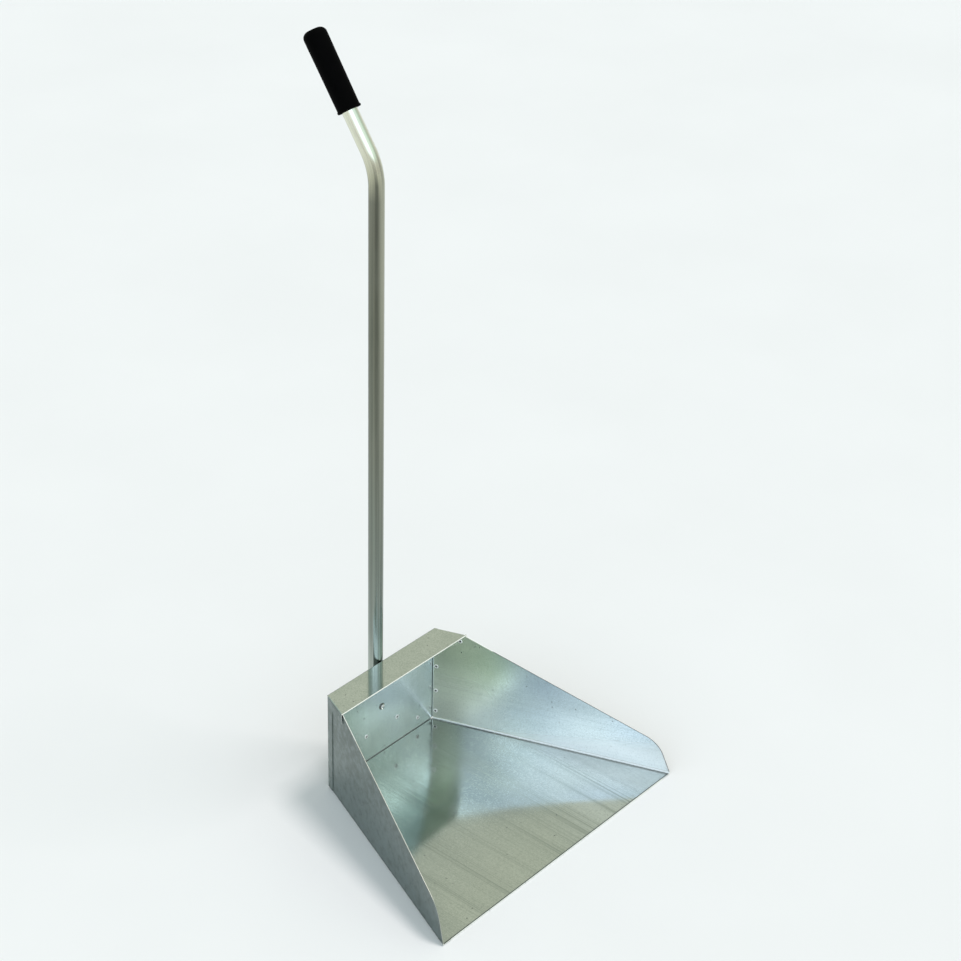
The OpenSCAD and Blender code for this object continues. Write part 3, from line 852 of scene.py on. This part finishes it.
def lathe_mesh(name, profile, sides):
    """A solid turned round Z from points of (radius, height) that start and end on the axis."""
    shape = bmesh.new()
    verts = [shape.verts.new((radius, 0.0, height)) for radius, height in profile]
    edges = [shape.edges.new(pair) for pair in zip(verts, verts[1:])]
    bmesh.ops.spin(
        shape,
        geom=verts + edges,
        cent=(0, 0, 0),
        axis=(0, 0, 1),
        angle=math.tau,
        steps=sides,
        use_merge=True,
    )
    bmesh.ops.remove_doubles(shape, verts=shape.verts, dist=1e-7)
    bmesh.ops.recalc_face_normals(shape, faces=shape.faces)
    mesh = bpy.data.meshes.new(name)
    shape.to_mesh(mesh)
    shape.free()
    return mesh


def smooth_up_to(mesh, degrees):
    mesh.shade_smooth()
    mesh.set_sharp_from_angle(angle=math.radians(degrees))


def arc(centre, radius, start, end, steps):
    """Points on an arc, in the plane of its centre."""
    turns = [start + (end - start) * i / steps for i in range(steps + 1)]
    return [(centre[0] + radius * math.cos(t), centre[1] + radius * math.sin(t)) for t in turns]


def evaluated_mesh(piece):
    """A plain mesh of a piece as its modifiers leave it."""
    bpy.context.view_layer.update()
    graph = bpy.context.evaluated_depsgraph_get()
    return bpy.data.meshes.new_from_object(piece.evaluated_get(graph), depsgraph=graph)


# Geometry trees

def new_tree(name, inputs):
    """A geometry tree with named inputs, its input node, its output node and the inputs' identifiers."""
    tree = bpy.data.node_groups.new(name, "GeometryNodeTree")
    tree.is_modifier = True
    tree.interface.new_socket("Geometry", in_out="INPUT", socket_type="NodeSocketGeometry")
    sockets = {
        label: tree.interface.new_socket(label, in_out="INPUT", socket_type=kind).identifier
        for label, kind in inputs.items()
    }
    tree.interface.new_socket("Geometry", in_out="OUTPUT", socket_type="NodeSocketGeometry")
    return tree, add_node(tree, "NodeGroupInput"), add_node(tree, "NodeGroupOutput"), sockets


def keep_attribute(tree, geometry, name, kind, value):
    """Geometry whose points keep a value under a name."""
    node = add_node(tree, "GeometryNodeStoreNamedAttribute", data_type=kind, domain="POINT")
    node.inputs["Name"].default_value = name
    link(tree, geometry, node.inputs["Geometry"])
    link(tree, value, node.inputs["Value"])
    return node.outputs["Geometry"]


def read_attribute(tree, name, kind):
    """What a geometry's points keep under a name."""
    node = add_node(tree, "GeometryNodeInputNamedAttribute", data_type=kind)
    node.inputs["Name"].default_value = name
    return node.outputs["Attribute"]


def finish_tree(tree, group_in, group_out, geometry):
    """Makes instances real and sets the material."""
    real = add_node(tree, "GeometryNodeRealizeInstances")
    painted = add_node(tree, "GeometryNodeSetMaterial")
    link(tree, geometry, real.inputs["Geometry"])
    link(tree, real.outputs["Geometry"], painted.inputs["Geometry"])
    link(tree, group_in.outputs["Material"], painted.inputs["Material"])
    link(tree, painted.outputs["Geometry"], group_out.inputs["Geometry"])


def grow(name, mesh, tree, sockets, values):
    """A plain mesh piece from a starting mesh and a geometry tree with its inputs set."""
    piece = new_object(name, mesh)
    modifier = piece.modifiers.new("grow", "NODES")
    modifier.node_group = tree
    for label, value in values.items():
        modifier[sockets[label]] = value
    grown = evaluated_mesh(piece)
    piece.modifiers.remove(modifier)
    piece.data = grown
    grown.name = name
    return piece


# Handle tube

def tube_route():
    """The tube's axis from its foot, up, round the bend and into the grip."""
    centre = (TUBE_Y + TUBE_BEND_RADIUS, TUBE_BEND_START)
    bend = arc(centre, TUBE_BEND_RADIUS, math.pi, math.pi - TUBE_BEND_ANGLE, TUBE_BEND_STEPS)
    end_y = bend[-1][0] + math.sin(TUBE_BEND_ANGLE) * TUBE_ABOVE_BEND
    end_z = bend[-1][1] + math.cos(TUBE_BEND_ANGLE) * TUBE_ABOVE_BEND
    route = [(TUBE_Y, TUBE_FOOT), (TUBE_Y, TUBE_BEND_START), *bend[1:], (end_y, end_z)]
    return [(0.0, y, z) for y, z in route]


def tube_ring(tree, group_in):
    """A round profile of the given diameter that keeps, on its points, the way each one faces."""
    ring = add_node(tree, "GeometryNodeCurvePrimitiveCircle")
    link(tree, product(tree, group_in.outputs["Diameter"], 0.5), ring.inputs["Radius"])
    link(tree, group_in.outputs["Sides"], ring.inputs["Resolution"])
    place = add_node(tree, "GeometryNodeInputPosition").outputs["Position"]
    return keep_attribute(tree, ring.outputs["Curve"], "around", "FLOAT_VECTOR", unit_vector(tree, place))


def tube_tree():
    """Draws a round tube along a route and keeps, on its skin, the place round and along it."""
    inputs = {
        "Diameter": "NodeSocketFloat",
        "Sides": "NodeSocketInt",
        "Material": "NodeSocketMaterial",
    }
    tree, group_in, group_out, sockets = new_tree("bent_tube", inputs)
    curve = add_node(tree, "GeometryNodeMeshToCurve")
    link(tree, group_in.outputs["Geometry"], curve.inputs["Mesh"])
    length = add_node(tree, "GeometryNodeSplineParameter").outputs["Length"]
    route = keep_attribute(tree, curve.outputs["Curve"], "along", "FLOAT", length)
    skin = add_node(tree, "GeometryNodeCurveToMesh")
    link(tree, route, skin.inputs["Curve"])
    link(tree, tube_ring(tree, group_in), skin.inputs["Profile Curve"])
    around_x, around_y, _ = parts_of(tree, read_attribute(tree, "around", "FLOAT_VECTOR"))
    wrap = vector_of(tree, around_x, around_y, read_attribute(tree, "along", "FLOAT"))
    wrapped = keep_attribute(tree, skin.outputs["Mesh"], "wrap", "FLOAT_VECTOR", wrap)
    finish_tree(tree, group_in, group_out, wrapped)
    return tree, sockets


def make_tube(finish):
    tree, sockets = tube_tree()
    values = {"Diameter": TUBE_DIAMETER, "Sides": TUBE_SIDES, "Material": finish}
    tube = grow("tube_skin", polyline_mesh("tube_route", tube_route()), tree, sockets, values)
    wall = tube.modifiers.new("wall", "SOLIDIFY")
    wall.thickness = TUBE_WALL
    wall.offset = -1.0
    tube.data = evaluated_mesh(tube)
    tube.modifiers.clear()
    smooth_up_to(tube.data, degrees=40)
    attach(tube, "root")
    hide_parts("handle_tube")


# Rivets

def rivet_profile(grip):
    """Half section of a set rivet: bore, rolled end inside the pan, shank, and the smooth head outside."""
    bore = RIVET_BORE / 2
    shank = RIVET_DIAMETER / 2
    roll = (RIVET_ROLL_DIAMETER / 2 - bore) / 2
    head = RIVET_HEAD_DIAMETER / 2
    dome = (head * head + RIVET_HEAD_HEIGHT ** 2) / (2 * RIVET_HEAD_HEIGHT)
    dome_centre = (0.0, dome - RIVET_HEAD_HEIGHT - grip)
    rim = math.asin(head / dome)
    points = [(0.0, -RIVET_BORE_DEPTH), (bore, -RIVET_BORE_DEPTH)]
    points += arc((bore + roll, 0.0), roll, math.pi, 0.0, RIVET_ROLL_STEPS)
    points += [(shank, 0.0), (shank, -grip)]
    points += arc(dome_centre, dome, rim - math.pi / 2, -math.pi / 2, RIVET_HEAD_STEPS)
    return points


def rivet_tree():
    """Sets one turned shape at each point, facing as the point says and turned at random about its axis."""
    inputs = {
        "Shape": "NodeSocketObject",
        "Seed": "NodeSocketInt",
        "Material": "NodeSocketMaterial",
    }
    tree, group_in, group_out, sockets = new_tree("set_rivets", inputs)
    shape = add_node(tree, "GeometryNodeObjectInfo")
    link(tree, group_in.outputs["Shape"], shape.inputs["Object"])
    aim = add_node(tree, "FunctionNodeAlignRotationToVector", axis="Z")
    link(tree, read_attribute(tree, "facing", "FLOAT_VECTOR"), aim.inputs["Vector"])
    spin = add_node(tree, "FunctionNodeRandomValue", data_type="FLOAT_VECTOR")
    spin.inputs[0].default_value = (0.0, 0.0, 0.0)
    spin.inputs[1].default_value = (0.0, 0.0, math.tau)
    link(tree, group_in.outputs["Seed"], spin.inputs["Seed"])
    turn = add_node(tree, "FunctionNodeRotateRotation", rotation_space="LOCAL")
    link(tree, aim.outputs["Rotation"], turn.inputs["Rotation"])
    link(tree, spin.outputs[0], turn.inputs["Rotate By"])
    placed = add_node(tree, "GeometryNodeInstanceOnPoints")
    link(tree, group_in.outputs["Geometry"], placed.inputs["Points"])
    link(tree, shape.outputs["Geometry"], placed.inputs["Instance"])
    link(tree, turn.outputs["Rotation"], placed.inputs["Rotation"])
    finish_tree(tree, group_in, group_out, placed.outputs["Instances"])
    return tree, sockets


def wall_place(side, setback, height):
    """Place and facing of a rivet on a side wall; side is 1 on the right and -1 on the left."""
    outward = Vector((math.cos(FLARE), math.sin(FLARE), 0.0))
    forward = Vector((math.sin(FLARE), -math.cos(FLARE), 0.0))
    point = Vector((BACK_WIDTH / 2, BACK_Y, height)) + forward * setback - outward * SHEET
    return (side * point.x, point.y, point.z), (-side * outward.x, -outward.y, 0.0)


def panel_place(x, height):
    """Place and facing of a rivet on the back panel."""
    return (x, BACK_Y - SHEET, height), (0.0, -1.0, 0.0)


def rivet_groups():
    """Name, clamped length and places of each group of rivets."""
    left, right = -1, 1
    both = (left, right)
    two_sheets = 2 * SHEET + LAP_GAP
    side = {s: [wall_place(s, SIDE_RIVET_SETBACK, height) for height in SIDE_RIVET_HEIGHTS] for s in both}
    hood = [wall_place(s, HOOD_RIVET_SETBACK, HOOD_RIVET_HEIGHT) for s in both]
    rear = [panel_place(s * REAR_RIVET_X, REAR_RIVET_HEIGHT) for s in both]
    saddle = [panel_place(s * SADDLE_RIVET_X, SADDLE_RIVET_HEIGHT) for s in both]
    return (
        ("left_side_rivets", two_sheets, side[left]),
        ("right_side_rivets", two_sheets, side[right]),
        ("hood_rivets", 3 * SHEET + 2 * LAP_GAP, hood),
        ("rear_flange_rivets", two_sheets, rear),
        ("saddle_rivets", SHEET + LAP_GAP + SADDLE_THICKNESS, saddle),
    )


def facing_points(name, places):
    """Loose points that carry the way each one faces."""
    mesh = bpy.data.meshes.new(name)
    mesh.from_pydata([point for point, _ in places], [], [])
    facing = mesh.attributes.new("facing", "FLOAT_VECTOR", "POINT")
    for item, (_, direction) in zip(facing.data, places):
        item.vector = direction
    return mesh


def mark_rivet(mesh, grip):
    """Keeps, on a rivet's skin, where the painted shade of its bore and its outer head are."""
    bore = mesh.attributes.new("bore", "FLOAT", "POINT")
    outer_head = mesh.attributes.new("outer_head", "FLOAT", "POINT")
    for index, vertex in enumerate(mesh.vertices):
        from_axis = math.hypot(vertex.co.x, vertex.co.y) / (RIVET_BORE / 2)
        shade = (BORE_SHADE_REACH - from_axis) / (BORE_SHADE_REACH - 1.0)
        in_pan = vertex.co.z > -1.01 * RIVET_BORE_DEPTH
        bore.data[index].value = min(1.0, max(0.0, shade)) if in_pan else 0.0
        outer_head.data[index].value = 1.0 if vertex.co.z < -0.9 * grip else 0.0


def make_rivets(finish):
    tree, sockets = rivet_tree()
    for seed, (name, grip, places) in enumerate(rivet_groups()):
        shape = new_object("turned_rivet", lathe_mesh("turned_rivet", rivet_profile(grip), RIVET_SIDES))
        mark_rivet(shape.data, grip)
        values = {"Shape": shape, "Seed": seed, "Material": finish}
        piece = grow(f"{name}_set", facing_points("rivet_places", places), tree, sockets, values)
        bpy.data.objects.remove(shape)
        smooth_up_to(piece.data, degrees=35)
        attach(piece, "root")
        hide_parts(name)


# Nodes of the part that keep their shape

def paint(names, finish):
    for name in names:
        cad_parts[name].data.materials[0] = finish


# Stage

def make_floor():
    """A wide floor that the pan's lip stands on."""
    level = cad_box[0].z
    corners = [(FLOOR_HALF * x, FLOOR_HALF * y, level) for x, y in ((-1, -1), (1, -1), (1, 1), (-1, 1))]
    mesh = bpy.data.meshes.new("studio_floor")
    mesh.from_pydata(corners, [], [(0, 1, 2, 3)])
    mesh.materials.append(studio_floor_material())
    floor = new_object("studio_floor", mesh)


def make_camera():
    cos_e, sin_e = math.cos(CAMERA_ELEVATION), math.sin(CAMERA_ELEVATION)
    cos_a, sin_a = math.cos(CAMERA_AZIMUTH), math.sin(CAMERA_AZIMUTH)
    back = Vector((sin_a * cos_e, -cos_a * cos_e, sin_e))
    level = Vector((cos_a, sin_a, 0.0))
    upright = back.cross(level)
    right = level * math.cos(CAMERA_ROLL) + upright * math.sin(CAMERA_ROLL)
    up = upright * math.cos(CAMERA_ROLL) - level * math.sin(CAMERA_ROLL)
    data = bpy.data.cameras.new("photo_camera")
    data.lens = CAMERA_LENS
    data.sensor_width = CAMERA_SENSOR
    data.clip_end = CAMERA_REACH
    camera = new_object("photo_camera", data)
    turned = Matrix((right, up, back)).transposed().to_4x4()
    camera.matrix_world = Matrix.Translation(CAMERA_PLACE) @ turned
    bpy.context.scene.camera = camera


def make_sun():
    """One wide soft light from high on the right, so that the pan's shadow falls to its left."""
    data = bpy.data.lights.new("key_light", "SUN")
    data.energy = SUN_ENERGY
    data.angle = SUN_ANGLE
    data.color = SUN_COLOUR
    sun = new_object("key_light", data)
    sun.rotation_mode = "QUATERNION"
    sun.rotation_quaternion = Vector(TOWARDS_SUN).to_track_quat("Z", "Y")


def make_world():
    """Soft room light: cool and bright from the left and front, beige and dimmer from the back right."""
    world = bpy.data.worlds.new("soft_room")
    bpy.context.scene.world = world
    world.use_nodes = True
    tree = world.node_tree
    direction = add_node(tree, "ShaderNodeTexCoord").outputs["Generated"]
    _, _, height = parts_of(tree, direction)
    towards = add_node(tree, "ShaderNodeVectorMath", operation="DOT_PRODUCT")
    towards.inputs[1].default_value = Vector(TOWARDS_BRIGHT_SIDE).normalized()
    link(tree, direction, towards.inputs[0])
    around = (
        (0.20, (0.56, 0.60, 0.49)),
        (0.50, (0.68, 0.86, 0.80)),
        (0.82, (0.97, 1.14, 1.20)),
        (0.94, (1.46, 1.70, 1.92)),
    )
    colour = toned(tree, ramp(tree, towards.outputs["Value"], -1.0, 1.0), around, interpolation="EASE")
    colour = mix_colours(tree, ramp(tree, height, 0.62, 0.94, smooth=True), colour, CEILING)
    colour = mix_colours(tree, ramp(tree, height, 0.40, 0.26, smooth=True), colour, LOW_ROOM)
    link(tree, colour, tree.nodes["Background"].inputs["Color"])


bpy.context.scene.view_settings.view_transform = "Standard"
make_camera()
make_tube(tube_material())
make_rivets(rivet_material())
paint(("pan_sheet", "back_hood_sheet"), galvanised_material())
paint(("handle_saddle", "handle_bolt", "handle_washer", "handle_nut"), hardware_material())
paint(("hand_grip",), grip_material())
make_floor()
make_sun()
make_world()
